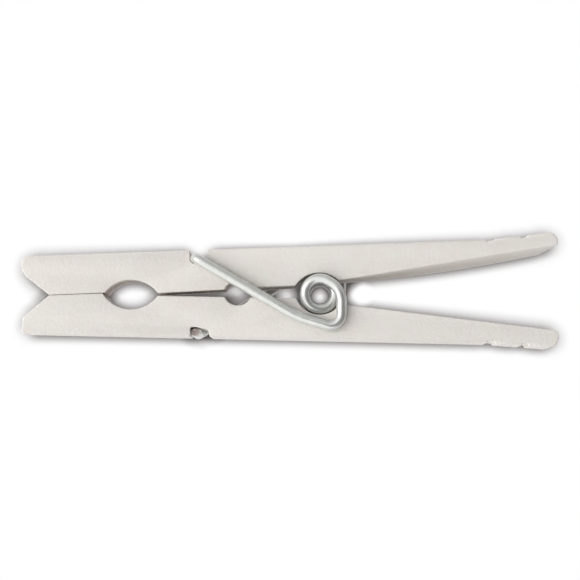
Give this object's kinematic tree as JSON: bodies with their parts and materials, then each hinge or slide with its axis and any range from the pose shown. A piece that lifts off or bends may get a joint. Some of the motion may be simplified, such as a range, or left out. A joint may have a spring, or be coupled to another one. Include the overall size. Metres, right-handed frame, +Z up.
{
  "type": "clothespin",
  "caption": "Wooden spring clothespin: two levers pivot on the coil of a bent wire spring that holds the jaws shut on a line.",
  "frame": {"origin": "below the middle of the whole pin, on the surface it lies on", "axes": "+X along the length from the jaws to the handle tips, +Y from the lower lever to the upper lever, +Z up along the coil, from the surface the pin lies on; the jaws are shut at rest"},
  "size_m": [0.072, 0.0156, 0.0124],
  "materials": {
    "painted_wood": "matt warm white paint over close-grained wood, orange-peel texture",
    "painted_wire": "glossy cool white paint over steel wire"
  },
  "bodies": {
    "lower_lever": {"lower_lever": "painted_wood", "torsion_spring": "painted_wire"},
    "upper_lever": {"upper_lever": "painted_wood"}
  },
  "joints": [
    {"name": "jaw_pivot", "type": "hinge", "parent": "lower_lever", "child": "upper_lever", "pos_m": [0.00405, -0.00023, 0.0062], "axis": [0, 0, -1], "range_deg": [0, 18], "stiffness_Nm_per_rad": 0.4, "springref_deg": -28.65, "deforming": ["torsion_spring"]}
  ]
}
